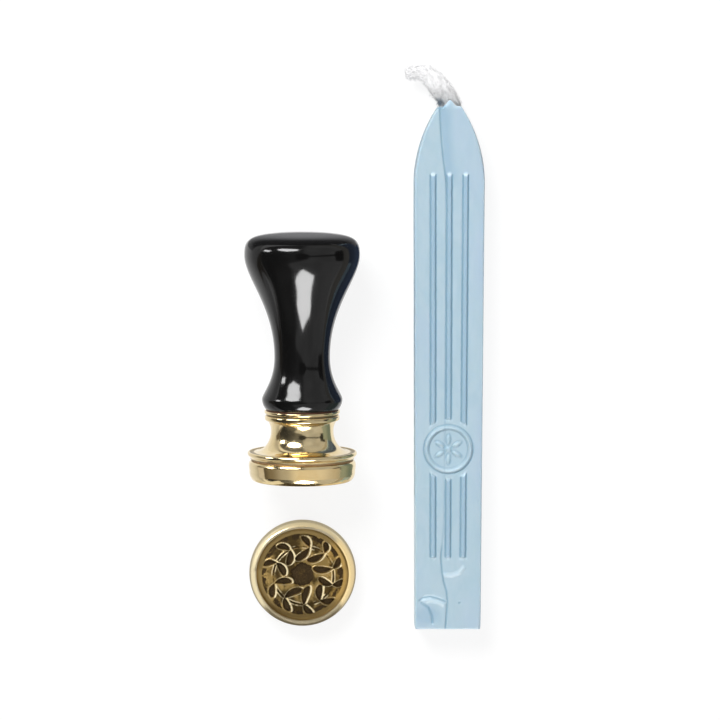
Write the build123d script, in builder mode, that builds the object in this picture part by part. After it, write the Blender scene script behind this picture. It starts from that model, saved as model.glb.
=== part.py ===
"""Wax seal set: a stamp with a screw-on brass head, a second head and a wicked stick of sealing wax.

The set lies on a flat surface at Z = 0. The stick runs along Y with its pointed end towards +Y, and the stamp lies
beside it on its handle and its ferrule's lip, head towards -Y. The origin is under the middle of the whole set.
Lengths are millimetres. Turned pieces are drawn as half outlines: X is the radius and Y the height above the
plane that touches the wax.
"""

import os
from math import atan2, cos, degrees, pi, sin, sqrt, tan

from build123d import *

# ---- seal head: a turned brass disc with a locating boss and a blind tapped hole ----
head_radius = 9.68
head_height = 3.7
head_edge_width = 0.33  # on the shoulder that faces the ferrule
head_edge_height = 0.7
head_taper = 0.13  # how much narrower the side gets towards the wax
rim_round_width = 1.05  # the pressing rim is a quarter ellipse outside...
rim_round_height = 1.8
rim_step_radius = 8.3  # ...and a sharp step inside
rim_step_depth = 0.25
field_radius = 7.4  # flat engraved field, reached by a shallow cone
field_depth = 0.55
boss_radius = 4.2
boss_height = 2.0
thread_radius = 3.0  # plain cylinder at the thread's outer size
thread_pitch = 1.0
thread_turns = 4  # full turns that hold the head on the stud
tapped_chamfer = 0.3

# ---- leaf wreath engraved in the field ----
leaf_pairs = 10
wreath_turn = -13.0  # degrees from the +X direction to the first pair
stem_radius = 5.35
stem_width = 0.3
stem_depth = 0.2
leaf_depth = 0.4
leaf_root_gap = 0.12  # between the stem's middle line and a leaf's point
outer_leaf_length = 2.3
outer_leaf_tip_radius = 0.52
outer_leaf_angle = 36  # degrees from straight outwards
inner_leaf_length = 2.9
inner_leaf_tip_radius = 0.6
inner_leaf_angle = 14  # degrees from straight inwards
centre_radius = 1.95
centre_depth = 0.3

# ---- clearances ----
thread_clearance = 0.05
boss_clearance = 0.05
boss_end_gap = 0.2
stud_end_gap = 0.2
washer_bore_clearance = 0.15

# ---- fibre washer between head and ferrule ----
washer_thickness = 0.3
washer_radius = 9.15

# ---- ferrule: turned brass, heights from its own underside ----
lip_radius = 9.88
lip_height = 0.9  # where the lip is widest
lip_foot_radius = 9.35
lip_foot_height = 0.15  # of the narrow neck under the lip
lip_crest_inset = 0.3
lip_crest_height = 1.35
dish_radius = 9.15  # shallow groove inside the lip
dish_height = 1.0
cove_foot_radius = 8.75
cove_foot_height = 1.25
cove_radius = 5.63  # narrowest place
cove_height = 5.05
cove_lower_pull = 1.9  # how far the cove runs straight before it flares
cove_foot_pull = 1.9
cove_top_radius = 6.2
cove_top_height = 6.9
bead_root_radius = 6.42
bead_radius = 6.72
bead_bottom_height = 7.0
bead_width = 0.85
bead_bevel = 0.28
ring_radius = 6.8
ring_bottom_height = 8.25
ring_bevel = 0.2
ferrule_height = 8.8
spigot_radius = 3.7
spigot_height = 2.4

# ---- handle: glazed ceramic, heights from its own foot ----
foot_radius = 6.6
foot_bulge_radius = 7.23
foot_bulge_height = 1.7
waist_radius = 5.0
waist_height = 9.3
bulge_radius = 10.4
bulge_height = 27.85
handle_height = 31.45
foot_pull = 1.05  # straight run of the outline at each end of its long curves
waist_lower_pull = 4.45
waist_upper_pull = 9.3
bulge_lower_pull = 4.35
crown_pull = 8.55

# ---- joint between ferrule and handle ----
cement_thickness = 0.25
cement_gap = 0.3  # around the spigot and above the stud
cement_inset = 0.1  # the seam line lies a little inside the ferrule's edge
stud_in_handle = 6.5  # how far the stud passes the ferrule's top face
stud_chamfer = 0.4

# ---- wax stick ----
stick_length = 94.15
stick_width = 12.95  # at the shoulder, across the back
stick_base_width = 12.15
stick_thickness = 7.2
stick_draft = 3  # degrees
stick_edge_bevel = 0.35
shoulder_from_tip = 13.9
tip_width = 4.7
rib_count = 3
rib_pitch = 2.8
rib_width = 0.95
rib_height = 0.35
ribs_from_base = 12.9
ribs_beyond_shoulder = 2.4
medallion_from_base = 32.75
medallion_radius = 4.45
medallion_ring_width = 1.0
medallion_clearance = 1.05  # between the ring and the ribs' ends
petal_count = 6
petal_length = 1.9
petal_width = 1.0
petal_gap = 0.2  # between the petals and the rosette's eye
rosette_eye_radius = 0.55
relief_height = 0.25

# ---- braided cotton wick, flat section ----
wick_width = 2.9
wick_thickness = 1.8
wick_edge_bevel = 0.5
wick_straight_beyond_tip = 0.3
wick_lean = 3.8  # how far its first bend leads sideways
wick_rise = 6.25  # from the wax tip to the middle of its sideways end
wick_end_run = 3.9

# ---- layout on the table ----
stamp_to_stick = 9.7
stamp_from_base = 27.5
spare_from_base = 9.9

set_width = 2 * bulge_radius + stamp_to_stick + stick_width
set_length = stick_length + wick_rise + wick_width / 2
base_y = -set_length / 2
stamp_x = bulge_radius - set_width / 2
stick_x = (set_width - stick_width) / 2

# ---- heights along the stamp's axis, from the plane that touches the wax ----
ferrule_foot = head_height + washer_thickness
boss_top = head_height + boss_height
counterbore_floor = boss_top + boss_end_gap
ferrule_top = ferrule_foot + ferrule_height
spigot_top = ferrule_top + spigot_height
handle_foot = ferrule_top + cement_thickness
socket_radius = spigot_radius + cement_gap
stud_top = ferrule_top + stud_in_handle
socket_top = stud_top + cement_gap
stud_foot = boss_top - thread_pitch * thread_turns
tapped_floor = stud_foot - stud_end_gap
stud_radius = thread_radius - thread_clearance

# The stamp rolls down until both the handle's bulge and the ferrule's lip touch the table.
bulge_above_head = handle_foot + bulge_height
lip_above_head = ferrule_foot + lip_height
lying_tilt = atan2(bulge_radius - lip_radius, bulge_above_head - lip_above_head)
stamp_z = lip_radius * cos(lying_tilt) - lip_above_head * sin(lying_tilt)

stamp_seat = Plane(
    origin=(stamp_x, base_y + stamp_from_base, stamp_z),
    x_dir=(1, 0, 0),
    z_dir=(0, cos(lying_tilt), sin(lying_tilt)),
)
spare_seat = Plane(
    origin=(stamp_x, base_y + spare_from_base, boss_top),
    x_dir=(1, 0, 0),
    z_dir=(0, 0, -1),
)


def outline_plane(seat):
    """The plane of a turned piece's half outline: radius along X, height along Y."""
    return Plane(origin=seat.origin, x_dir=seat.x_dir, z_dir=-seat.y_dir)


def turning_axis(seat):
    return Axis(seat.origin, seat.z_dir)


def leaf(length, tip_radius):
    """A teardrop pocket along +X: straight sides from a point near the origin, tangent to a round tip."""
    tip_middle = length - tip_radius
    reach = tip_middle - leaf_root_gap
    touch_x = tip_middle - tip_radius**2 / reach
    touch_y = tip_radius * sqrt(1 - (tip_radius / reach) ** 2)
    with BuildSketch() as teardrop:
        with BuildLine():
            Polyline((touch_x, -touch_y), (leaf_root_gap, 0), (touch_x, touch_y))
            ThreePointArc((touch_x, touch_y), (length, 0), (touch_x, -touch_y))
        make_face()
    return teardrop.sketch


os.makedirs("parts", exist_ok=True)

# ---- the two heads ----
outer_leaf = leaf(outer_leaf_length, outer_leaf_tip_radius)
inner_leaf = leaf(inner_leaf_length, inner_leaf_tip_radius)

for head_name, seat in (("seal_head", stamp_seat), ("spare_head", spare_seat)):
    with BuildPart() as head:
        with BuildSketch(outline_plane(seat)):
            with BuildLine():
                Polyline(
                    (0, tapped_floor),
                    (thread_radius, tapped_floor),
                    (thread_radius, boss_top - tapped_chamfer),
                    (thread_radius + tapped_chamfer, boss_top),
                    (boss_radius, boss_top),
                    (boss_radius, head_height),
                    (head_radius - head_edge_width, head_height),
                    (head_radius, head_height - head_edge_height),
                    (head_radius - head_taper, rim_round_height),
                )
                EllipticalCenterArc(
                    (head_radius - head_taper - rim_round_width, rim_round_height),
                    rim_round_width,
                    rim_round_height,
                    start_angle=0,
                    arc_size=-90,
                )
                Polyline(
                    (head_radius - head_taper - rim_round_width, 0),
                    (rim_step_radius, 0),
                    (rim_step_radius, rim_step_depth),
                    (field_radius, field_depth),
                    (centre_radius, field_depth),
                    (centre_radius, field_depth + centre_depth),
                    (0, field_depth + centre_depth),
                    (0, tapped_floor),
                )
            make_face()
        revolve(axis=turning_axis(seat))

        # Leaves spring in pairs from a ten-sided stem and all sweep the same way round.
        engraving = seat.offset(field_depth)
        with BuildSketch(engraving):
            with PolarLocations(stem_radius, leaf_pairs, start_angle=wreath_turn):
                add(outer_leaf, rotation=-outer_leaf_angle)
                add(inner_leaf, rotation=180 + inner_leaf_angle)
        extrude(amount=leaf_depth, mode=Mode.SUBTRACT)
        with BuildSketch(engraving):
            RegularPolygon(stem_radius + stem_width / 2, leaf_pairs, rotation=wreath_turn)
            RegularPolygon(
                stem_radius - stem_width / 2, leaf_pairs, rotation=wreath_turn, mode=Mode.SUBTRACT
            )
        extrude(amount=stem_depth, mode=Mode.SUBTRACT)
    head.part.label = head_name
    export_step(head.part, f"parts/{head_name}.step")

# ---- fibre washer ----
with BuildPart() as fibre_washer:
    with BuildSketch(stamp_seat.offset(head_height)):
        Circle(washer_radius)
        Circle(boss_radius + washer_bore_clearance, mode=Mode.SUBTRACT)
    extrude(amount=washer_thickness)
fibre_washer.part.label = "fibre_washer"
export_step(fibre_washer.part, "parts/fibre_washer.step")

# ---- stud, through the ferrule and into the handle ----
with BuildPart() as head_stud:
    with BuildSketch(stamp_seat.offset(stud_foot)):
        Circle(stud_radius)
    extrude(amount=stud_top - stud_foot)
    stud_ends = head_stud.edges().filter_by(GeomType.CIRCLE)
    chamfer(stud_ends, length=stud_chamfer)
head_stud.part.label = "head_stud"
export_step(head_stud.part, "parts/head_stud.step")

# ---- ferrule ----
bead_top = ferrule_foot + bead_bottom_height + bead_width

with BuildPart() as ferrule:
    with BuildSketch(outline_plane(stamp_seat)):
        with BuildLine():
            foot = ferrule_foot
            counterbore_radius = boss_radius + boss_clearance
            Polyline(
                (stud_radius, spigot_top),
                (stud_radius, counterbore_floor),
                (counterbore_radius, counterbore_floor),
                (counterbore_radius, foot),
                (lip_foot_radius, foot),
                (lip_foot_radius, foot + lip_foot_height),
            )
            TangentArc(
                (lip_foot_radius, foot + lip_foot_height),
                (lip_radius, foot + lip_height),
                tangent=(0, 1),
            )
            Polyline(
                (lip_radius, foot + lip_height),
                (lip_radius - lip_crest_inset, foot + lip_crest_height),
                (dish_radius, foot + dish_height),
                (cove_foot_radius, foot + cove_foot_height),
            )
            Bezier(
                (cove_foot_radius, foot + cove_foot_height),
                (cove_foot_radius - cove_foot_pull, foot + cove_foot_height),
                (cove_radius, foot + cove_height - cove_lower_pull),
                (cove_radius, foot + cove_height),
            )
            TangentArc(
                (cove_radius, foot + cove_height),
                (cove_top_radius, foot + cove_top_height),
                tangent=(0, 1),
            )
            Polyline(
                (cove_top_radius, foot + cove_top_height),
                (bead_root_radius, foot + bead_bottom_height),
                (bead_radius, foot + bead_bottom_height + bead_bevel),
                (bead_radius, bead_top - bead_bevel),
                (bead_root_radius, bead_top),
                (bead_root_radius, foot + ring_bottom_height),
                (ring_radius, foot + ring_bottom_height + ring_bevel),
                (ring_radius, ferrule_top - ring_bevel),
                (ring_radius - ring_bevel, ferrule_top),
                (spigot_radius, ferrule_top),
                (spigot_radius, spigot_top),
                (stud_radius, spigot_top),
            )
        make_face()
    revolve(axis=turning_axis(stamp_seat))
ferrule.part.label = "ferrule"
export_step(ferrule.part, "parts/ferrule.step")

# ---- cement that fills the seam, the socket and the gap above the stud ----
with BuildPart() as handle_cement:
    with BuildSketch(outline_plane(stamp_seat)):
        with BuildLine():
            Polyline(
                (0, stud_top),
                (stud_radius - stud_chamfer, stud_top),
                (stud_radius, stud_top - stud_chamfer),
                (stud_radius, spigot_top),
                (spigot_radius, spigot_top),
                (spigot_radius, ferrule_top),
                (foot_radius - cement_inset, ferrule_top),
                (foot_radius - cement_inset, handle_foot),
                (socket_radius, handle_foot),
                (socket_radius, socket_top),
                (0, socket_top),
                (0, stud_top),
            )
        make_face()
    revolve(axis=turning_axis(stamp_seat))
handle_cement.part.label = "handle_cement"
export_step(handle_cement.part, "parts/handle_cement.step")

# ---- handle ----
waist = handle_foot + waist_height
bulge = handle_foot + bulge_height
foot_bulge = handle_foot + foot_bulge_height
crown = handle_foot + handle_height

with BuildPart() as handle:
    with BuildSketch(outline_plane(stamp_seat)):
        with BuildLine():
            Bezier(
                (0, crown),
                (crown_pull, crown),
                (bulge_radius, crown),
                (bulge_radius, bulge),
            )
            Bezier(
                (bulge_radius, bulge),
                (bulge_radius, bulge - bulge_lower_pull),
                (waist_radius, waist + waist_upper_pull),
                (waist_radius, waist),
            )
            Bezier(
                (waist_radius, waist),
                (waist_radius, waist - waist_lower_pull),
                (foot_bulge_radius, foot_bulge + foot_pull),
                (foot_bulge_radius, foot_bulge),
            )
            TangentArc(
                (foot_bulge_radius, foot_bulge),
                (foot_radius, handle_foot),
                tangent=(0, -1),
            )
            Polyline(
                (foot_radius, handle_foot),
                (socket_radius, handle_foot),
                (socket_radius, socket_top),
                (0, socket_top),
                (0, crown),
            )
        make_face()
    revolve(axis=turning_axis(stamp_seat))
handle.part.label = "handle"
export_step(handle.part, "parts/handle.step")

# ---- wax stick ----
shoulder = stick_length - shoulder_from_tip
taper_per_length = (stick_width - stick_base_width) / 2 / shoulder
side_direction = (taper_per_length, 1)
back = Plane(origin=(stick_x, base_y, 0))
face = back.offset(stick_thickness)
medallion = Plane(origin=(stick_x, base_y + medallion_from_base, stick_thickness))
wick_middle = stick_thickness / 2

# ---- wick: straight through the wax, then over to one side ----
channel = Plane(origin=(stick_x, base_y, wick_middle), x_dir=(1, 0, 0), z_dir=(0, 1, 0))
first_run = sqrt(wick_lean**2 + (wick_rise - wick_straight_beyond_tip) ** 2)
first_turn = atan2(wick_lean, wick_rise - wick_straight_beyond_tip)
second_turn = pi / 2 - first_turn
bend_share = 0.45  # of the run that a bend may use
first_bend = bend_share * first_run / tan(first_turn / 2)
second_bend = bend_share * min(first_run, wick_end_run) / tan(second_turn / 2)
print(f"wick bends {first_bend:.2f} and {second_bend:.2f} mm, lying tilt {degrees(lying_tilt):.3f} degrees")

with BuildPart() as wick:
    with BuildLine(Plane(origin=(stick_x, base_y, wick_middle))) as wick_route:
        FilletPolyline(
            (0, 0),
            (0, stick_length + wick_straight_beyond_tip),
            (-wick_lean, stick_length + wick_rise),
            (-wick_lean - wick_end_run, stick_length + wick_rise),
            radius=[first_bend, second_bend],
        )
    with BuildSketch(channel) as braid:
        Rectangle(wick_width, wick_thickness)
        chamfer(braid.vertices(), length=wick_edge_bevel)
    sweep(path=wick_route.line)
wick.part.label = "wick"
export_step(wick.part, "parts/wick.step")

with BuildPart() as wax_stick:
    with BuildSketch(back):
        with BuildLine():
            right_side = Line((stick_base_width / 2, 0), (stick_width / 2, shoulder))
            right_arc = TangentArc(
                right_side @ 1, (tip_width / 2, stick_length), tangent=side_direction
            )
            mirror(right_side, about=Plane.YZ)
            mirror(right_arc, about=Plane.YZ)
            Line((tip_width / 2, stick_length), (-tip_width / 2, stick_length))
            Line((-stick_base_width / 2, 0), (stick_base_width / 2, 0))
        make_face()
    extrude(amount=stick_thickness, taper=stick_draft)
    chamfer(wax_stick.faces().sort_by(Axis.Z)[-1].edges(), length=stick_edge_bevel)

    # Ribs stop on a circle around the medallion, so the outer ones come nearer to it than the middle one.
    with BuildSketch(face):
        for place in range(rib_count):
            across = (place - (rib_count - 1) / 2) * rib_pitch
            stand_off = sqrt((medallion_radius + medallion_clearance) ** 2 - across**2)
            lower_length = medallion_from_base - stand_off - ribs_from_base
            upper_start = medallion_from_base + stand_off
            upper_length = shoulder + ribs_beyond_shoulder - upper_start
            with Locations((across, ribs_from_base + lower_length / 2)):
                SlotOverall(lower_length, rib_width, rotation=90)
            with Locations((across, upper_start + upper_length / 2)):
                SlotOverall(upper_length, rib_width, rotation=90)
    extrude(amount=rib_height)

    with BuildSketch(medallion):
        Circle(medallion_radius)
        Circle(medallion_radius - medallion_ring_width, mode=Mode.SUBTRACT)
    extrude(amount=rib_height)
    with BuildSketch(medallion):
        Circle(rosette_eye_radius)
        with PolarLocations(rosette_eye_radius + petal_gap + petal_length / 2, petal_count):
            SlotOverall(petal_length, petal_width)
    extrude(amount=relief_height)

    # The wax is cast round the wick, which fills its channel from end to end.
    add(wick.part, mode=Mode.SUBTRACT)
wax_stick.part.label = "wax_stick"
export_step(wax_stick.part, "parts/wax_stick.step")
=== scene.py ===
"""Looks of the wax seal set: stamp, loose seal head and wicked wax stick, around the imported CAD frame.

Shapes are drawn in millimetres and turned into metres when a piece is made. Turned pieces are half outlines
(radius, height), where height is counted from the plane of the seal head that touches the wax.
"""

import math

import bmesh
import bpy
from mathutils import Matrix, Vector


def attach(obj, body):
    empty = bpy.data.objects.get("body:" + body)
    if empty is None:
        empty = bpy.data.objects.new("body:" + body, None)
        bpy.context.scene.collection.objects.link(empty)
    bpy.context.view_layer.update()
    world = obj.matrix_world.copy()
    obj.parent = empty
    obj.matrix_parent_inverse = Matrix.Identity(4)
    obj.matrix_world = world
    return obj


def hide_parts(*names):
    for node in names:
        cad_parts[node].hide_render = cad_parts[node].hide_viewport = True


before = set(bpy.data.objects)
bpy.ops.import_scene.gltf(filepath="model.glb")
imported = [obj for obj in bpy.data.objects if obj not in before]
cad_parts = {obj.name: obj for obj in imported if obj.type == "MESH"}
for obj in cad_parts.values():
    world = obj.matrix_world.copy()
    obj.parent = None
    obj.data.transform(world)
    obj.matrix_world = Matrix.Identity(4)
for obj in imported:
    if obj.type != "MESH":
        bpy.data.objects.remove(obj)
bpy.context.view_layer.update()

MM = 0.001
TURN = 2 * math.pi
WELD = 1e-7  # metres; points closer than this become one


# ---------------------------------------------------------------- node trees written as formulas
class Wire:
    """An output socket that Python's arithmetic works on: each operation adds its Math node."""

    def __init__(self, sheet, socket):
        self.sheet, self.socket = sheet, socket

    def out(self, name):
        """Another output of the same node."""
        return Wire(self.sheet, pick(self.socket.node.outputs, name))

    def is_vector(self):
        return self.socket.type == "VECTOR"

    def calc(self, operation, *values):
        vector = any(isinstance(v, tuple) or isinstance(v, Wire) and v.is_vector() for v in values)
        kind = "ShaderNodeVectorMath" if vector else "ShaderNodeMath"
        if vector:
            values = [(v, v, v) if isinstance(v, (int, float)) else v for v in values]
        return self.sheet.node(kind, {"operation": operation}, dict(enumerate(values)))

    def __add__(self, other):
        return self.calc("ADD", self, other)

    def __radd__(self, other):
        return self.calc("ADD", other, self)

    def __sub__(self, other):
        return self.calc("SUBTRACT", self, other)

    def __rsub__(self, other):
        return self.calc("SUBTRACT", other, self)

    def __mul__(self, other):
        numeric = isinstance(other, (int, float))
        if self.is_vector() and (numeric or isinstance(other, Wire) and not other.is_vector()):
            return self.sheet.node("ShaderNodeVectorMath", {"operation": "SCALE"}, {0: self, "Scale": other})
        if isinstance(other, Wire) and other.is_vector() and not self.is_vector():
            return other * self
        return self.calc("MULTIPLY", self, other)

    __rmul__ = __mul__

    def __truediv__(self, other):
        return self.calc("DIVIDE", self, other)

    def __gt__(self, other):
        return self.calc("GREATER_THAN", self, other)

    def __lt__(self, other):
        return self.calc("LESS_THAN", self, other)

    def __abs__(self):
        return self.calc("ABSOLUTE", self)

    def most(self, other):
        return self.calc("MAXIMUM", self, other)

    def least(self, other):
        return self.calc("MINIMUM", self, other)

    def kept(self):
        """Held between 0 and 1."""
        return self.most(0.0).least(1.0)

    def floor(self):
        return self.calc("FLOOR", self)

    def fraction(self):
        return self.calc("FRACT", self)

    def sine(self):
        return self.calc("SINE", self)

    def cosine(self):
        return self.calc("COSINE", self)

    def root(self):
        return self.calc("SQRT", self)

    def size(self):
        return self.sheet.node("ShaderNodeVectorMath", {"operation": "LENGTH"}, {0: self}).out("Value")

    def rise(self, low, high):
        """0 below low, 1 above high, smooth between."""
        return self.sheet.node(
            "ShaderNodeMapRange",
            {"interpolation_type": "SMOOTHSTEP"},
            {"Value": self, "From Min": low, "From Max": high},
        )

    def fall(self, low, high):
        return 1.0 - self.rise(low, high)

    def parts(self):
        split = self.sheet.node("ShaderNodeSeparateXYZ", {}, {0: self})
        return split.out("X"), split.out("Y"), split.out("Z")


def pick(sockets, name):
    """The socket in use that has this name or number."""
    if isinstance(name, int):
        return sockets[name]
    return next(s for s in sockets if s.enabled and s.name == name)


class Sheet:
    """A node tree being written."""

    def __init__(self, tree):
        self.tree = tree

    def node(self, kind, settings=None, inputs=None):
        """Adds a node. The settings are set first, then the values or links of its sockets."""
        made = self.tree.nodes.new(kind)
        for name, value in (settings or {}).items():
            setattr(made, name, value)
        for name, value in (inputs or {}).items():
            socket = pick(made.inputs, name)
            if isinstance(value, (Wire, list)):
                for wire in value if isinstance(value, list) else [value]:
                    self.tree.links.new(wire.socket, socket)
            elif socket.type == "RGBA":
                socket.default_value = (*value, 1.0)
            else:
                socket.default_value = value
        shown = [s for s in made.outputs if s.enabled]
        return Wire(self, shown[0]) if shown else None

    def joined(self, x=0.0, y=0.0, z=0.0):
        return self.node("ShaderNodeCombineXYZ", {}, {"X": x, "Y": y, "Z": z})

    def mix(self, a, b, share):
        """Colour a, and colour b where the share is 1."""
        return self.node("ShaderNodeMix", {"data_type": "RGBA"}, {"Factor": share, "A": a, "B": b})

    def attribute(self, name):
        """A named number, in a geometry tree."""
        return self.node("GeometryNodeInputNamedAttribute", {"data_type": "FLOAT"}, {"Name": name})

    def written(self, geometry, name, value):
        """The geometry with a named number kept on its points."""
        return self.node(
            "GeometryNodeStoreNamedAttribute",
            {"data_type": "FLOAT", "domain": "POINT"},
            {"Geometry": geometry, "Name": name, "Value": value},
        )

    def noise(self, vector, scale, detail, roughness, distortion=0.0):
        look = {"Scale": scale, "Detail": detail, "Roughness": roughness, "Distortion": distortion}
        return self.node("ShaderNodeTexNoise", {}, {"Vector": vector, **look}).out("Fac")

    def point_count(self, mesh):
        return self.node("GeometryNodeAttributeDomainSize", {"component": "MESH"}, {"Geometry": mesh})

    def grid(self, columns, rows):
        """A plane cut into columns and rows of points, which a rule then puts in place."""
        counts = {"Vertices X": columns, "Vertices Y": rows}
        return self.node("GeometryNodeMeshGrid", {}, {"Size X": 1.0, "Size Y": 1.0, **counts})

    def sampled(self, mesh, value, index, kind="FLOAT"):
        """A value read from one numbered point of another mesh."""
        return self.node(
            "GeometryNodeSampleIndex",
            {"data_type": kind, "domain": "POINT"},
            {"Geometry": mesh, "Value": value, "Index": index},
        )

    def moved(self, geometry, position):
        """The geometry with each point put where the position says."""
        return self.node("GeometryNodeSetPosition", {}, {"Geometry": geometry, "Position": position})

    def welded(self, mesh):
        return self.node("GeometryNodeMergeByDistance", {}, {"Geometry": mesh, "Distance": WELD})

    def circle(self, corners):
        """A ring of radius 1."""
        look = {"Resolution": corners, "Radius": 1.0}
        return self.node("GeometryNodeCurvePrimitiveCircle", {"mode": "RADIUS"}, look)

    def tube(self, curve, profile, thickness):
        """A closed tube along a curve."""
        look = {"Profile Curve": profile, "Scale": thickness, "Fill Caps": True}
        return self.node("GeometryNodeCurveToMesh", {}, {"Curve": curve, **look})

    def shape_of(self, guided):
        """The geometry of a hidden helper object."""
        held = self.node("GeometryNodeObjectInfo", {"transform_space": "ORIGINAL"}, {"Object": guided})
        return held.out("Geometry")

    def distance(self, place, shape, kind):
        """Millimetres from a place to the nearest edge or face of a shape."""
        target = {"Geometry": shape, "Sample Position": place}
        return self.node("GeometryNodeProximity", {"target_element": kind}, target).out("Distance") / MM


def emptied(owner):
    """The node tree of a material or a world, cleared, as a sheet."""
    owner.use_nodes = True
    owner.node_tree.nodes.clear()
    return Sheet(owner.node_tree)


# ---------------------------------------------------------------- growing pieces by rule
SOCKETS = {
    int: "NodeSocketInt",
    float: "NodeSocketFloat",
    bpy.types.Object: "NodeSocketObject",
    bpy.types.Material: "NodeSocketMaterial",
}


def grown(name, start, rule, sizes, material):
    """Runs a rule, written as a geometry tree, on a mesh or curve and gives the plain mesh it makes."""
    tree = bpy.data.node_groups.new(name, "GeometryNodeTree")
    ports = tree.interface
    ports.new_socket("Start", in_out="INPUT", socket_type="NodeSocketGeometry")
    ports.new_socket("Made", in_out="OUTPUT", socket_type="NodeSocketGeometry")
    values = {**sizes, "Finish": material}
    keys = {}
    for label, value in values.items():
        kind = next(socket for held, socket in SOCKETS.items() if isinstance(value, held))
        keys[label] = ports.new_socket(label, in_out="INPUT", socket_type=kind).identifier
    sheet = Sheet(tree)
    given = sheet.node("NodeGroupInput")
    shape = rule(sheet, given.out("Start"), {label: given.out(label) for label in sizes})
    real = sheet.node("GeometryNodeRealizeInstances", {}, {"Geometry": shape})
    dressed = sheet.node("GeometryNodeSetMaterial", {}, {"Geometry": real, "Material": given.out("Finish")})
    sheet.node("NodeGroupOutput", {}, {0: dressed})
    host = bpy.data.objects.new(name + "_start", start)
    bpy.context.collection.objects.link(host)
    modifier = host.modifiers.new("rule", "NODES")
    modifier.node_group = tree
    for label, value in values.items():
        modifier[keys[label]] = value
    evaluated = host.evaluated_get(bpy.context.evaluated_depsgraph_get())
    mesh = bpy.data.meshes.new_from_object(evaluated)
    host.modifiers.clear()
    bpy.data.objects.remove(host)
    mesh.name = name
    return mesh


def guide(name, points, edges, values=None):
    """A hidden helper mesh that a rule reads. Lengths are millimetres."""
    mesh = bpy.data.meshes.new(name)
    mesh.from_pydata([[c * MM for c in p] for p in points], edges, [])
    for label, row in (values or {}).items():
        mesh.attributes.new(label, "FLOAT", "POINT").data.foreach_set("value", row)
    return mesh


def finished(name, mesh, body, nodes, seat=None, crease=35.0):
    """Closes a mesh, turns its faces outwards, puts it in place and lets it ride. A crease is in degrees."""
    work = bmesh.new()
    work.from_mesh(mesh)
    bmesh.ops.remove_doubles(work, verts=work.verts, dist=WELD)
    bmesh.ops.dissolve_degenerate(work, edges=work.edges, dist=1e-8)
    bmesh.ops.recalc_face_normals(work, faces=work.faces)
    work.to_mesh(mesh)
    work.free()
    if seat is not None:
        mesh.transform(seat)
    mesh.shade_smooth()
    mesh.set_sharp_from_angle(angle=math.radians(crease))
    piece = bpy.data.objects.new(name, mesh)
    bpy.context.collection.objects.link(piece)
    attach(piece, body)
    if nodes:
        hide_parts(*nodes)


# ---------------------------------------------------------------- sizes, as in the CAD source
# heights over the plane that touches the wax
field_height = 0.55
tapped_floor = 1.5
stud_foot = 1.7
rim_round_height = 1.8
head_height = 3.7
ferrule_foot = 4.0
lip_widest = 4.9
dish_height = 5.0
cove_foot = ferrule_foot + 1.25
boss_top = 5.7
counterbore_floor = 5.9
cove_middle = ferrule_foot + 5.05
cove_top = ferrule_foot + 6.9
ferrule_top = 12.8
handle_foot = 13.05
foot_bulge = 14.75
spigot_top = 15.2
stud_top = 19.3
socket_top = 19.6
waist = 22.35
bulge = 40.9
crown = 44.5

# radii
thread_radius = 3.0
boss_radius = 4.2
field_radius = 7.4
rim_round_middle, rim_round_width = 8.5, 1.05
washer_hole, washer_radius = 4.35, 9.15
counterbore_radius = 4.25
lip_radius = 9.88
dish_radius = 9.15
cove_foot_radius, cove_radius, cove_top_radius = 8.75, 5.63, 6.2
bead_radius = 6.72
ring_radius = 6.80
stud_radius, stud_hole_radius = 2.95, 2.97
spigot_radius, socket_radius = 3.7, 4.0
cement_radius = 6.5
foot_radius, foot_bulge_radius = 6.6, 7.23
waist_radius = 5.0
bulge_radius = 10.4

# how far an outline runs straight on before it bends away
cove_foot_pull, cove_lower_pull = 1.9, 1.9
foot_pull = 1.05
waist_lower_pull, waist_upper_pull = 4.45, 9.3
bulge_lower_pull = 4.35
crown_pull = 8.55

thread_pitch = 1.0
thread_depth = 0.5

set_length = 101.85
stick_length, stick_thickness = 94.15, 7.2
stick_draft = 3.0  # degrees
shoulder = 80.25
stick_half, stick_base_half = 6.475, 6.075
base_y = -set_length / 2
stamp_x, stick_x = -11.325, 15.25
stamp_y, spare_y = base_y + 27.5, base_y + 9.9
lying_tilt = math.atan2(bulge_radius - lip_radius, bulge - lip_widest)
stamp_z = lip_radius * math.cos(lying_tilt) - lip_widest * math.sin(lying_tilt)


def seat_matrix(origin, z_dir):
    """Where a turned piece lies: its origin in millimetres and the way its axis points."""
    x_axis, z_axis = Vector((1, 0, 0)), Vector(z_dir).normalized()
    turned = Matrix((x_axis, z_axis.cross(x_axis), z_axis)).transposed().to_4x4()
    return Matrix.Translation(Vector(origin) * MM) @ turned


stamp_seat = seat_matrix((stamp_x, stamp_y, stamp_z), (0, math.cos(lying_tilt), math.sin(lying_tilt)))
spare_seat = seat_matrix((stamp_x, spare_y, boss_top), (0, 0, -1))


# ---------------------------------------------------------------- half outlines
def bow(start, out, into, end, steps):
    """Points of a cubic curve, without its first."""
    made = []
    for i in range(1, steps + 1):
        t = i / steps
        weights = ((1 - t) ** 3, 3 * t * (1 - t) ** 2, 3 * t * t * (1 - t), t**3)
        pulls = list(zip(weights, (start, out, into, end)))
        made.append(tuple(sum(w * p[k] for w, p in pulls) for k in (0, 1)))
    return made


def swing(start, end, steps):
    """Points of the arc that leaves start along the axis and reaches end, without its first."""
    dr, dh = end[0] - start[0], end[1] - start[1]
    radius = (dr * dr + dh * dh) / (2 * dr)
    span = math.asin(dh / radius)
    made = []
    for i in range(1, steps + 1):
        a = span * i / steps
        made.append((start[0] + radius * (1 - math.cos(a)), start[1] + radius * math.sin(a)))
    return made


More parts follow.
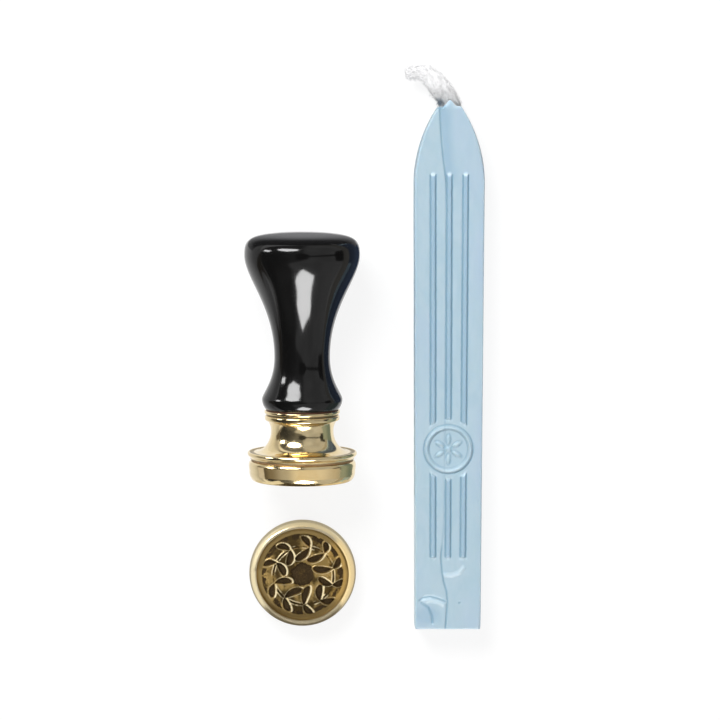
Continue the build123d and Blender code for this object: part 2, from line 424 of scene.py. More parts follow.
def softened(corners, steps=4):
    """A half outline with rounded corners. A corner is (radius, height) or (radius, height, rounding)."""
    made = []
    for i, corner in enumerate(corners):
        here = Vector(corner[:2])
        reach = corner[2] if len(corner) > 2 else 0.0
        if not reach:
            made.append(tuple(here))
            continue
        before = Vector(corners[i - 1][:2]) - here
        after = Vector(corners[(i + 1) % len(corners)][:2]) - here
        first = here + before.normalized() * min(reach, before.length * 0.49)
        last = here + after.normalized() * min(reach, after.length * 0.49)
        for k in range(steps + 1):
            t = k / steps
            made.append(tuple(first * (1 - t) ** 2 + here * 2 * t * (1 - t) + last * t * t))
    return made


def divided(outline, longest):
    """The same outline with its long straight runs cut up."""
    made = [outline[0]]
    for a, b in zip(outline, outline[1:]):
        pieces = max(1, math.ceil(math.dist(a, b) / longest))
        made += [tuple(a[k] + (b[k] - a[k]) * i / pieces for k in (0, 1)) for i in range(1, pieces + 1)]
    return made


def limited(value):
    """A plain number, held between 0 and 1."""
    return min(1.0, max(0.0, value))


def turn_rule(sheet, start, size):
    """Turns a half outline once round Z, with a thread and an engraving where its attributes ask for them."""
    count = sheet.point_count(start)
    steps = size["Steps Round"]
    grid = sheet.grid(steps + 1.0, count)
    index = sheet.node("GeometryNodeInputIndex")
    step = ((index + 0.5) / count).floor()
    place = index - step * count

    def along(value, kind="FLOAT"):
        return sheet.sampled(start, value, place, kind)

    radius, _, height = along(sheet.node("GeometryNodeInputPosition"), "FLOAT_VECTOR").parts()
    angle = step / steps * TURN
    phase = height / (thread_pitch * MM) - step / steps
    ridge = (abs(phase.fraction() - 0.5) * 2.6 - 0.15).kept()
    radius = radius - ridge * size["Thread Depth"] * along(sheet.attribute("threaded"))
    flat = sheet.joined(radius * angle.cosine(), radius * angle.sine())
    patina, polish = along(sheet.attribute("stained")), 0.0
    if "Leaves" in size:
        relief, stain, polish = wreath_relief(sheet, flat, size)
        engraved = along(sheet.attribute("engraved"))
        height = height - relief * engraved
        patina = patina.most(stain * engraved)
        polish = polish * engraved
    moved = sheet.moved(grid, flat + sheet.joined(z=height))
    marked = sheet.written(sheet.written(moved, "patina", patina), "polish", polish)
    return sheet.welded(marked)


def wreath_relief(sheet, flat, size):
    """How far the field stands up at a place, how much patina lies there and how much painted highlight lies
    there.
    """
    # one leaf of unit length: blunt at its root, widest towards its round tip, and bent to one side
    ring = sheet.circle(56)
    t = sheet.node("GeometryNodeSplineParameter").out("Factor") * TURN
    lengthways = (1.0 - t.cosine()) * 0.5
    across = t.sine() * ((t * 0.5).sine().most(0.0) * 0.46 + 0.22)
    bent = across + lengthways * lengthways * 0.75 - lengthways * 0.35
    outline = sheet.moved(ring, sheet.joined(lengthways, bent))
    pocket = sheet.node("GeometryNodeFillCurve", {"mode": "NGONS"}, {"Curve": outline})
    edge = sheet.node("GeometryNodeCurveToMesh", {}, {"Curve": outline})

    leaves = sheet.shape_of(size["Leaves"])

    def on_stem(shape):
        """The leaf's shape set at every root."""
        aim = sheet.node("FunctionNodeEulerToRotation", {}, {0: sheet.joined(z=sheet.attribute("aim"))})
        grown_to = sheet.joined(sheet.attribute("reach"), sheet.attribute("spread"), 1.0)
        placed = sheet.node(
            "GeometryNodeInstanceOnPoints",
            {},
            {"Points": leaves, "Instance": shape, "Rotation": aim, "Scale": grown_to},
        )
        return sheet.node("GeometryNodeRealizeInstances", {}, {"Geometry": placed})

    pockets = on_stem(pocket)
    touching = 1e-4
    within = sheet.distance(flat, pockets, "FACES") < touching
    outside = 1.0 - within
    # painted highlight: the land along the right-hand side of every leaf is painted bright, as if lit from
    # that side
    beside_leaf = flat + (-0.40 * MM, 0.06 * MM, 0.0)
    painted_side_highlight = (sheet.distance(beside_leaf, pockets, "FACES") < touching) * outside
    edge_gap = sheet.distance(flat, on_stem(edge), "EDGES")
    stem_gap = sheet.distance(flat, sheet.shape_of(size["Stem"]), "EDGES")
    from_middle = flat.size() / MM

    grain = sheet.noise(flat / MM, 2.6, 3.0, 0.6)
    coarse = sheet.noise(flat / MM + (7.3, 2.1, 0.0), 0.9, 2.0, 0.5)
    patches = sheet.noise(flat / MM + (1.7, 9.4, 0.0), 0.45, 2.0, 0.5)
    hollow = within * edge_gap.rise(0.0, 0.30)
    # raised edge lines round the leaves and beside the stem; they are also painted pale, a painted highlight
    wire = edge_gap.fall(0.02, 0.16) * outside * (coarse.rise(0.3, 0.6) * 0.4 + 0.15)
    wire = wire.most(painted_side_highlight * edge_gap.fall(0.26, 0.42) * coarse.rise(0.15, 0.4))
    twin = abs(stem_gap - 0.27).fall(0.03, 0.14) * outside * patches.rise(0.46, 0.56)
    wire = wire.most(twin)
    channel = stem_gap.fall(0.06, 0.2) * outside * edge_gap.rise(0.0, 0.12)
    middle = (from_middle + (coarse - 0.5) * 1.4).fall(1.75, 2.2) * edge_gap.rise(0.05, 0.25)
    border = from_middle.rise(6.2, 6.9) * outside * edge_gap.rise(0.15, 0.4)
    relief = (
        wire * 0.14
        - hollow * 0.4
        - channel * 0.14
        - middle * 0.34
        - border * 0.16 * coarse.rise(0.35, 0.6)
        + (patches - 0.5) * 0.3 * outside
        - (grain - 0.5) * 0.1 * (1.0 - wire)
    )
    stain = hollow * (coarse * 1.2 + 0.45).kept() + middle + channel * 0.4 + border * coarse.rise(0.38, 0.55)
    stain = stain + (grain.rise(0.4, 0.7) * 0.3 + patches.rise(0.45, 0.65) * 0.3) * outside
    glow = from_middle.fall(0.3, 1.5) * 0.45
    return relief * MM, (stain * (1.0 - wire * 0.95) - glow).kept(), wire.kept()


def turned(name, outline, body, nodes, slot, material, seat, steps=224, sizes=None, **marks):
    """A piece turned from its half outline. The marks say where it is threaded, engraved or stained."""
    rows = {}
    for label in ("threaded", "engraved", "stained"):
        share = marks.get(label, lambda r, h: 0.0)
        rows[label] = [share(r, h) for r, h in outline]
    start = guide(name + "_outline", [(r, 0.0, h) for r, h in outline], [], rows)
    given = {"Steps Round": steps, "Thread Depth": thread_depth * MM, **(sizes or {})}
    mesh = grown(name, start, turn_rule, given, material)
    finished(name, mesh, body, nodes, seat)


# ---------------------------------------------------------------- materials
def material(name, recipe, **constants):
    """A principled material. The recipe gives what varies; constants go on the shader's own sockets."""
    made = bpy.data.materials.new(name)
    sheet = emptied(made)
    place = sheet.node("ShaderNodeTexCoord").out("Object")
    varying = recipe(sheet, place)
    named = {label.replace("_", " "): v for label, v in constants.items()}
    shader = sheet.node("ShaderNodeBsdfPrincipled", {}, {**named, **varying})
    sheet.node("ShaderNodeOutputMaterial", {}, {"Surface": shader})
    return made


def bump(sheet, height, distance, strength):
    return sheet.node("ShaderNodeBump", {}, {"Height": height, "Distance": distance, "Strength": strength})


def mark(sheet, name):
    """A piece's own attribute, in a material."""
    held = sheet.node("ShaderNodeAttribute", {"attribute_name": name, "attribute_type": "GEOMETRY"})
    return held.out("Fac")


def centred(sheet, place, seat):
    """Object coordinates counted in millimetres along a seat's own axes."""
    back = seat.inverted()
    shift = {"Location": tuple(back.translation / MM), "Rotation": tuple(back.to_euler())}
    return sheet.node("ShaderNodeMapping", {"vector_type": "POINT"}, {"Vector": place / MM, **shift})


def brass(name, seat, tarnish, satin):
    """Turned brass: polished where satin is 0. Patina and painted highlights follow the piece's attributes.
    """

    def recipe(sheet, place):
        local = centred(sheet, place, seat)
        x, y, z = local.parts()
        radius = sheet.joined(x, y).size()
        lathe = sheet.noise(sheet.joined(radius * 9.0, z * 9.0), 1.0, 3.0, 0.6)
        scratches = sheet.noise(local, 5.0, 4.0, 0.65, 1.5)
        cloud = sheet.noise(local, 0.35, 3.0, 0.55)
        stain, polish = mark(sheet, "patina"), mark(sheet, "polish")
        face = radius.fall(8.25, 8.45) * z.fall(0.9, 1.2)
        field = radius.fall(7.3, 7.5) * face
        metal = sheet.mix((0.83, 0.68, 0.40), (0.78, 0.60, 0.31), cloud.rise(0.35, 0.75) * tarnish)
        metal = sheet.mix(metal, (0.86, 0.75, 0.51), (1.0 - face) * satin)
        metal = sheet.mix(metal, (0.40, 0.28, 0.112), face)
        land = sheet.mix((0.09, 0.06, 0.022), (0.45, 0.31, 0.112), cloud.rise(0.43, 0.60))
        metal = sheet.mix(metal, land, field)
        dark = sheet.mix((0.040, 0.025, 0.011), (0.130, 0.085, 0.036), scratches.rise(0.45, 0.75))
        tone = sheet.mix(metal, dark, stain.rise(0.12, 0.85))
        # painted highlight: leaf edges and their lit sides are painted pale cream
        tone = sheet.mix(tone, (0.92, 0.79, 0.50), polish.kept())
        metallic = 1.0 - stain.rise(0.5, 1.0) * 0.12 - polish * 0.45 - (1.0 - face) * satin * 0.06
        rough = scratches.rise(0.45, 0.8) * 0.05 + lathe * 0.06 + 0.11 + stain * 0.42
        rough = rough + (0.14 + face * 0.08) * satin + polish * 0.1
        height = lathe * 0.25 + scratches * 0.2 + stain * scratches * 1.5
        return {
            "Base Color": tone,
            "Metallic": metallic.kept(),
            "Roughness": rough,
            "Normal": bump(sheet, height, 0.00001, 0.35),
        }

    return material(name, recipe)


def glaze_recipe(sheet, place):
    cloud = sheet.noise(place / MM, 0.22, 3.0, 0.5)
    peel = sheet.noise(place / MM, 1.3, 2.0, 0.4)
    dust = sheet.noise(place / MM, 14.0, 2.0, 0.5).rise(0.72, 0.8)
    return {
        "Base Color": sheet.mix((0.0030, 0.0030, 0.0031), (0.0058, 0.0056, 0.0055), cloud),
        "Roughness": cloud * 0.04 + 0.10 + dust * 0.1,
        "Normal": bump(sheet, peel, 0.00002, 0.1),
    }


def cement_recipe(sheet, place):
    grain = sheet.noise(place / MM, 5.0, 4.0, 0.6)
    return {
        "Base Color": sheet.mix((0.035, 0.008, 0.004), (0.10, 0.026, 0.010), grain),
        "Roughness": grain * 0.3 + 0.35,
        "Normal": bump(sheet, grain, 0.00005, 0.5),
    }


def steel_recipe(sheet, place):
    grain = sheet.noise(place / MM * (1.0, 0.2, 1.0), 8.0, 3.0, 0.6)
    oil = sheet.noise(place / MM, 0.5, 2.0, 0.5)
    return {
        "Base Color": sheet.mix((0.50, 0.50, 0.50), (0.62, 0.61, 0.58), oil),
        "Roughness": grain * 0.2 + 0.18,
        "Normal": bump(sheet, grain, 0.00002, 0.4),
    }


def fibre_recipe(sheet, place):
    strands = sheet.noise(place / MM, 7.0, 5.0, 0.7, 2.0)
    return {
        "Base Color": sheet.mix((0.26, 0.15, 0.065), (0.42, 0.26, 0.12), strands),
        "Roughness": strands * 0.2 + 0.55,
        "Normal": bump(sheet, strands, 0.00004, 0.6),
    }


def wax_recipe(sheet, place):
    spot = place / MM
    marble = sheet.noise(spot * (1.0, 0.35, 1.0), 0.33, 4.0, 0.55, 1.2)
    broad = sheet.noise(spot * (1.0, 0.3, 1.0) + (31.0, 4.0, 0.0), 0.12, 2.0, 0.5)
    fine = sheet.noise(spot, 2.2, 4.0, 0.6)
    hollow, crest, tint = mark(sheet, "hollow"), mark(sheet, "crest"), mark(sheet, "tint")
    tone = sheet.mix((0.393, 0.541, 0.628), (0.432, 0.566, 0.648), marble.rise(0.3, 0.7))
    tone = sheet.mix(tone, (0.418, 0.536, 0.668), broad.rise(0.45, 0.7) * 0.6)
    tone = sheet.mix(tone, (0.300, 0.455, 0.585), tint.kept())
    # painted shade in the grooves, creases and beside the wick
    tone = sheet.mix(tone, (0.215, 0.365, 0.475), hollow.kept() * 0.95)
    # painted highlight on crests, rib ends, the tip's rim and the side walls
    tone = sheet.mix(tone, (0.640, 0.780, 0.860), crest.kept() * 0.8)
    return {
        "Base Color": tone,
        "Roughness": fine * 0.14 + 0.36,
        "Normal": bump(sheet, fine * 0.5 + marble, 0.00008, 0.25),
    }


def cotton_recipe(sheet, place):
    spot = place / MM
    soft = sheet.noise(spot, 1.1, 3.0, 0.6)
    fibres = sheet.noise(spot * (1.0, 2.2, 1.0), 9.0, 4.0, 0.7, 1.0)
    waxed = mark(sheet, "waxed")
    tone = sheet.mix((0.86, 0.85, 0.875), (0.90, 0.89, 0.91), soft)
    shown = sheet.mix(tone, (0.52, 0.53, 0.55), waxed.kept() * 0.95)
    shown = shown * (fibres.rise(0.25, 0.7) * 0.12 + 0.90)
    return {
        # painted shade: dark blue on the wick in the nook beside the wax
        "Base Color": sheet.mix(shown, (0.11, 0.17, 0.23), mark(sheet, "soaked").kept()),
        "Roughness": fibres * 0.1 + 0.85,
        # painted light: the dry cotton glows faintly in its own colour, which lifts its shading
        "Emission Color": sheet.mix(tone, (0.0, 0.0, 0.0), waxed.kept()),
        "Normal": bump(sheet, fibres + soft, 0.0002, 0.7),
    }


stamp_brass = brass("stamp brass", stamp_seat, 0.6, 0.0)
spare_brass = brass("spare head brass", spare_seat, 1.0, 1.0)
black_glaze = material("black glaze", glaze_recipe, IOR=1.46)
brown_cement = material("brown cement", cement_recipe)
stud_steel = material("stud steel", steel_recipe, Metallic=1.0)
red_fibre = material("red fibre", fibre_recipe)
blue_wax = material(
    "blue wax",
    wax_recipe,
    Subsurface_Weight=0.25,
    Subsurface_Radius=(0.6, 0.9, 1.2),
    Subsurface_Scale=0.0008,
)
white_cotton = material(
    "white cotton",
    cotton_recipe,
    Sheen_Weight=0.3,
    Sheen_Roughness=0.4,
    # painted light: strength of the cotton's faint glow
    Emission_Strength=0.22,
)

# ---------------------------------------------------------------- the wreath's plan
# a pair's root: angle round the head, radius; then lean and length of its outer and its inner leaf
LEAF_PAIRS = [
    (75.5, 5.03, 38.5, 2.30, 23.5, 3.15),
    (43.6, 5.48, 30.0, 1.95, 11.4, 3.20),
    (10.3, 5.53, 34.7, 2.20, 2.3, 3.35),
    (-20.0, 5.71, 28.8, 2.05, -2.6, 2.60),
    (-57.0, 5.74, 49.0, 2.60, 25.0, 2.75),
    (-87.4, 5.53, 25.8, 2.20, 8.0, 3.25),
    (-127.0, 5.37, 46.0, 2.50, 19.3, 3.35),
    (-162.0, 5.36, 52.0, 2.50, 2.8, 2.95),
    (156.0, 5.15, 24.0, 2.30, 23.6, 2.60),
    (117.0, 4.93, 34.5, 2.30, 25.0, 2.60),
]


def on_field(angle, radius):
    """A place on the field. The seat looks at it from behind, so angles there run the other way."""
    return radius * math.cos(angle), -radius * math.sin(angle), 0.0


def wreath_leaves():
    """Leaf roots with their aims. Seen from the engraved side all leaves sweep and curl one way."""
    points, aim, reach, spread = [], [], [], []
    for angle, radius, outer_lean, outer, inner_lean, inner in LEAF_PAIRS:
        a = math.radians(angle)
        for turn, length, curl in ((outer_lean, outer, -1.0), (180.0 - inner_lean, inner, 1.0)):
            points.append(on_field(a, radius))
            aim.append(-(a + math.radians(turn)))
            reach.append(length * 1.08 * MM)
            spread.append((0.75 + 0.16 * length) * curl * MM)
    mesh = guide("wreath_leaves", points, [], {"aim": aim, "reach": reach, "spread": spread})
    return bpy.data.objects.new("wreath_leaves", mesh)


def wreath_stem(steps=5):
    """The line that joins the leaf roots once round."""
    points = []
    for (start, near, *_), (end, far, *_) in zip(LEAF_PAIRS, LEAF_PAIRS[1:] + LEAF_PAIRS[:1]):
        sweep = (start - end) % 360.0
        for i in range(steps):
            share = i / steps
            points.append(on_field(math.radians(start - sweep * share), near + (far - near) * share))
    edges = [(i, (i + 1) % len(points)) for i in range(len(points))]
    return bpy.data.objects.new("wreath_stem", guide("wreath_stem", points, edges))


# ---------------------------------------------------------------- turned pieces
def head_outline():
    """From the tapped hole over the boss, the shoulder and the rim to the engraved field."""
    face = [
        (0.0, tapped_floor),
        (thread_radius, tapped_floor),
        (thread_radius, boss_top - 0.3),
        (3.3, boss_top),
        (boss_radius, boss_top, 0.08),
        (boss_radius, head_height, 0.1),
        (9.3, head_height, 0.12),
        (9.55, 3.42, 0.25),
        (9.68, 2.9, 0.5),
        (9.55, rim_round_height),
    ]
    rim = []
    for i in range(1, 14):
        a = math.pi / 2 * i / 14
        across = rim_round_middle + rim_round_width * math.cos(a)
        rim.append((across, rim_round_height - rim_round_height * math.sin(a)))
    cove = [(rim_round_middle, 0.0), (8.36, 0.02), (8.28, 0.12), (8.22, 0.3)]
    cove += bow((8.22, 0.3), (8.12, 0.5), (7.8, 0.56), (field_radius, field_height), 8)
    whole = softened(face) + rim + cove + [(0.0, field_height)]
    return divided(whole, 0.1)


def in_thread(r, h):
    if abs(r - thread_radius) >= 0.02:
        return 0.0
    return limited((h - 1.75) / 0.3) * limited((5.35 - h) / 0.25)


def in_field(r, h):
    if abs(h - field_height) > 0.005 or r > field_radius:
        return 0.0
    return min(1.0, (field_radius - r) / 0.15)


wreath = {"Leaves": wreath_leaves(), "Stem": wreath_stem()}
for name, body, node, slot, seat, metal in (
    ("seal_head_brass", "head", "seal_head", "polished_brass", stamp_seat, stamp_brass),
    ("spare_head_brass", "spare", "spare_head", "engraved_brass", spare_seat, spare_brass),
):
    turned(
        name,
        head_outline(),
        body,
        [node],
        slot,
        metal,
        seat,
        steps=400,
        threaded=in_thread,
        engraved=in_field,
        sizes=wreath,
    )

at_crown, at_bulge = (0.0, crown), (bulge_radius, bulge)
at_waist, at_foot = (waist_radius, waist), (foot_bulge_radius, foot_bulge)
under_bulge, over_waist = (bulge_radius, bulge - bulge_lower_pull), (waist_radius, waist + waist_upper_pull)
under_waist, over_foot = (waist_radius, waist - waist_lower_pull), (foot_bulge_radius, foot_bulge + foot_pull)
handle_outline = (
    [at_crown]
    + bow(at_crown, (crown_pull, crown), (bulge_radius, crown), at_bulge, 44)
    + bow(at_bulge, under_bulge, over_waist, at_waist, 56)
    + bow(at_waist, under_waist, over_foot, at_foot, 30)
    + swing(at_foot, (foot_radius, handle_foot), 10)
    + [(6.2, handle_foot), (socket_radius, handle_foot), (socket_radius, socket_top), (0.0, socket_top)]
)
turned(
    "handle_glazed",
    handle_outline,
    "stamp",
    ["handle"],
    "black_glaze",
    black_glaze,
    stamp_seat,
    steps=256,
)

cement_outline = softened(
    [
        (0.0, stud_top),
        (2.55, stud_top),
        (stud_radius, stud_top - 0.4),
        (stud_radius, spigot_top),
        (spigot_radius, spigot_top),
        (spigot_radius, ferrule_top),
        (cement_radius, ferrule_top, 0.06),
        (cement_radius, handle_foot, 0.06),
        (socket_radius, handle_foot),
        (socket_radius, socket_top),
        (0.0, socket_top),
    ]
)
turned(
    "cement_seam",
    cement_outline,
    "stamp",
    ["handle_cement"],
    "brown_cement",
    brown_cement,
    stamp_seat,
    steps=160,
)

ferrule_outline = softened(
    [
        (stud_hole_radius, spigot_top),
        (stud_hole_radius, counterbore_floor),
        (counterbore_radius, counterbore_floor),
        (counterbore_radius, ferrule_foot, 0.1),
        (9.33, ferrule_foot, 0.06),
        (9.4, 4.3, 0.2),
        (9.72, 4.62, 0.3),
        (lip_radius, lip_widest, 0.2),
        (9.8, 5.2, 0.2),
        (9.58, 5.36, 0.14),
        (dish_radius, dish_height, 0.15),
    ]
)
at_cove_foot, at_cove = (cove_foot_radius, cove_foot), (cove_radius, cove_middle)
under_cove = (cove_radius, cove_middle - cove_lower_pull)
beside_cove = (cove_foot_radius - cove_foot_pull, cove_foot)
ferrule_outline += [at_cove_foot] + bow(at_cove_foot, beside_cove, under_cove, at_cove, 36)
ferrule_outline += swing(at_cove, (cove_top_radius, cove_top), 16)
ferrule_outline += softened(
    [
        (6.34, 10.98),
        (bead_radius, 11.02, 0.3),
        (bead_radius, 11.84, 0.34),
        (6.38, 11.92, 0.06),
        (6.38, 12.2, 0.06),
        (ring_radius, 12.24, 0.22),
        (ring_radius, ferrule_top, 0.22),
        (spigot_radius, ferrule_top),
        (spigot_radius, spigot_top),
        (stud_hole_radius, spigot_top),
    ]
)


def in_grooves(r, h):
    """Polish and dust settle in the dish, beside the bead and at the joint."""
    if 8.7 < r < 9.5 and 4.9 < h < 5.4:
        return 0.55
    if r < 6.5 and 11.85 < h < 12.25:
        return 0.6
    return 0.5 if 9.0 < r < 9.5 and h < 4.2 else 0.0


turned(
    "ferrule_brass",
    divided(ferrule_outline, 0.8),
    "stamp",
    ["ferrule"],
    "polished_brass",
    stamp_brass,
    stamp_seat,
    stained=in_grooves,
)

washer_outline = softened(
    [
        (washer_hole, head_height),
        (washer_radius, head_height, 0.08),
        (washer_radius, ferrule_foot, 0.08),
        (washer_hole, ferrule_foot),
        (washer_hole, head_height),
    ]
)
turned(
    "washer_red",
    washer_outline,
    "washer",
    ["fibre_washer"],
    "red_fibre",
    red_fibre,
    stamp_seat,
    steps=160,
)

stud_outline = divided(
    [(0.0, stud_foot), (2.5, stud_foot), (stud_radius, stud_foot + 0.4), (stud_radius, 5.95)]
    + [(stud_radius, stud_top - 0.4), (2.55, stud_top), (0.0, stud_top)],
    0.09,
)


def on_stud(r, h):
    if r <= 2.4:
        return 0.0
    return limited((h - 1.8) / 0.3) * limited((5.9 - h) / 0.2)


turned(
    "stud_threaded",
    stud_outline,
    "stamp",
    ["head_stud"],
    "steel",
    stud_steel,
    stamp_seat,
    steps=144,
    threaded=on_stud,
)

# ---------------------------------------------------------------- wax stick
TOP_COLUMNS = 124
STATIONS = 560

# a closed section: share of the half width, height, inset, and how far the point belongs to the moulded face
section = [(-1.0 + 2.0 * i / TOP_COLUMNS, stick_thickness, 0.34, 1.0) for i in range(TOP_COLUMNS + 1)]
side = [(7.15, 0.16, 0.6), (7.02, 0.05, 0.3)]
side += [(height, 0.0, 0.0) for height in (6.8, 4.6, 2.4, 0.25)]
side += [(0.07, 0.07, 0.0), (0.0, 0.25, 0.0)]
section += [(1.0, *row) for row in side]
section += [(share, 0.0, 0.25, 0.0) for share in (0.5, 0.0, -0.5)]
section += [(-1.0, *row) for row in reversed(side)]

# lines on the moulded face, as (across, along) from the middle of the base
SEAM = [(-0.43, 0.1), (-0.20, 3.3), (-0.08, 5.1), (-0.26, 6.9), (-0.80, 8.7), (-1.08, 10.5)]
SEAM += [(-1.28, 13.0), (-1.05, 15.6), (-0.72, 19.5), (-0.66, 31.0), (-0.62, 50.0), (-0.58, 70.0)]
SEAM += [(-0.60, 80.9), (-0.83, 83.0), (-1.26, 86.2), (-1.47, 88.3), (-1.68, 91.5), (-1.78, 94.1)]
FOLDS = [
    [(-5.1, 5.25), (-4.4, 5.8), (-3.15, 6.0), (-1.9, 5.65), (-0.45, 5.1)],
    [(-4.75, 4.8), (-3.5, 4.0), (-2.85, 2.4), (-2.75, 1.15)],
]
CRESTS = [
    [(-0.7, 9.95), (0.65, 9.85), (2.1, 10.3), (2.8, 11.2)],
    [(-4.5, 5.0), (-3.1, 5.4), (-1.9, 5.05), (-0.8, 4.5)],
]
PIT = (2.1, 4.8)
rib_from, rib_to = 12.9, shoulder + 2.4
medallion = 32.75
disc_radius, ring_middle, ring_outside, rib_stop = 3.42, 3.95, 4.47, 5.35
petal_middle = 1.75


def face_lines(name, paths):
    """A helper object that holds lines of the moulded face."""
    points, edges = [], []
    for path in paths:
        edges += [(len(points) + i, len(points) + i + 1) for i in range(len(path) - 1)]
        points += [(x, y, 0.0) for x, y in path]
    return bpy.data.objects.new(name, guide(name, points, edges))


def face_relief(sheet, across, along, size):
    """Height of the moulded face over its plane, in millimetres, its painted shade in the hollows, its
    painted highlight and its tint.
    """
    spot = sheet.joined(across, along)
    swell = sheet.noise(sheet.joined(across, along * 0.55), 0.24, 2.0, 0.5) - 0.5
    ripple = sheet.noise(spot, 0.9, 2.0, 0.5) - 0.5
    flow = sheet.noise(sheet.joined(across * 1.4, along * 0.9), 1.1, 3.0, 0.6, 0.6)

    def line_gap(label):
        return sheet.distance(spot * MM, sheet.shape_of(size[label]), "EDGES")

    # three ribs, a little closer together towards the base; their ends stay open
    pitch = along * 0.0035 + 2.65
    off = across + ripple * 0.14
    sideways = abs(off).least(abs(abs(off) - pitch))
    from_disc = sheet.joined(across, along - medallion).size()
    reach = along.rise(rib_from, rib_from + 0.3) * along.fall(rib_to - 0.3, rib_to)
    reach = reach * from_disc.rise(5.3, 5.6)
    rib = sideways.fall(0.25, 0.5) * reach
    flank = abs(sideways - 0.5).fall(0.04, 0.25) * reach
    end_gap = abs(along - rib_from).least(abs(from_disc - rib_stop))
    rib_foot = end_gap.fall(0.1, 0.6) * sideways.fall(0.4, 1.0) * flow.rise(0.42, 0.62)
    past_rib = along - rib_to + 0.1
    # painted highlight at the rounded upper ends of the ribs
    rib_tip_highlight = (sideways * sideways + past_rib * past_rib).root().fall(0.15, 0.6)

    ring = abs(from_disc - ring_middle).fall(0.05, 0.54)
    inner_flank = abs(from_disc - disc_radius).fall(0.0, 0.2) * 0.7
    ring_flank = abs(from_disc - ring_outside).fall(0.03, 0.22).most(inner_flank)
    disc = from_disc.fall(3.2, 3.5)

    # a plain six-petalled rosette stands in the disc
    angle = sheet.node("ShaderNodeMath", {"operation": "ARCTAN2"}, {0: along - medallion, 1: across})
    sixth = abs((angle / (TURN / 6.0)).fraction() - 0.5) * (TURN / 6.0)
    radial = from_disc * sixth.cosine() - petal_middle
    aside = from_disc * sixth.sine()
    petal_gap = ((radial * radial) * 0.23 + aside * aside).root()
    petal = petal_gap.fall(0.12, 0.5) * disc
    petal_flank = abs(petal_gap - 0.5).fall(0.0, 0.2) * disc * flow.rise(0.3, 0.5)
    eye = from_disc.fall(0.25, 0.6)

    seam_gap = line_gap("Seam")
    bare = along.fall(14.0, 16.0).most(along.rise(78.0, 82.0))
    seam = seam_gap.fall(0.03, 0.26) * (bare * 0.62 + 0.38)
    fold = line_gap("Folds").fall(0.03, 0.36)
    bright = line_gap("Crests").fall(0.0, 0.55)
    pit = sheet.joined(across - PIT[0], along - PIT[1]).size().fall(0.08, 0.34)
    # painted shadow of the wick on the wax in the nook at its left
    painted_wick_shadow = sheet.joined((across + 1.55) * 0.7, along - size["Length"]).size().fall(0.3, 0.75)
    from_seam = across + 0.6 + (along - 80.9) * 0.091
    lee = from_seam.rise(-0.02, 0.12) * from_seam.fall(0.7, 2.8) * along.rise(79.5, 83.0)
    puddle = sheet.joined((across + 3.6) * 0.8, along - 2.6).size().fall(1.0, 2.4)
    height = (
        rib * 0.32
        - flank * 0.1
        + ring * 0.42
        - ring_flank * 0.1
        - disc * 0.08
        + petal * 0.3
        - petal_flank * 0.05
        + eye * 0.3
        - seam * 0.14
        - lee * 0.06
        - fold * 0.16
        + bright * 0.16
        - puddle * 0.14
        - pit * 0.2
        + swell * 0.24
        + ripple * 0.05
    )
    # painted shade: flanks of ribs, ring and petals, the seam, folds, pit and the nook beside the wick are
    # darkened as if in shade
    hollow = flank.most(ring_flank * 0.9).most(petal_flank * 0.7).most(seam * 0.9).most(fold * 0.9).most(pit)
    hollow = hollow.most(painted_wick_shadow * 2.0)
    # painted highlight: rib ends, crest lines, spots at the rib feet and the upper part of the ring are
    # painted lighter, as if lit
    ring_highlight = ring * along.fall(medallion - 4.2, medallion - 2.5) * 0.5
    crest = rib_tip_highlight.most(bright * 0.55).most(rib_foot * 0.6).most(ring_highlight)
    tint = (rib * 0.7).most(lee * 0.75).most(puddle * 0.5) + swell * 0.5
    return height, hollow, crest * (1.0 - hollow.kept()), tint


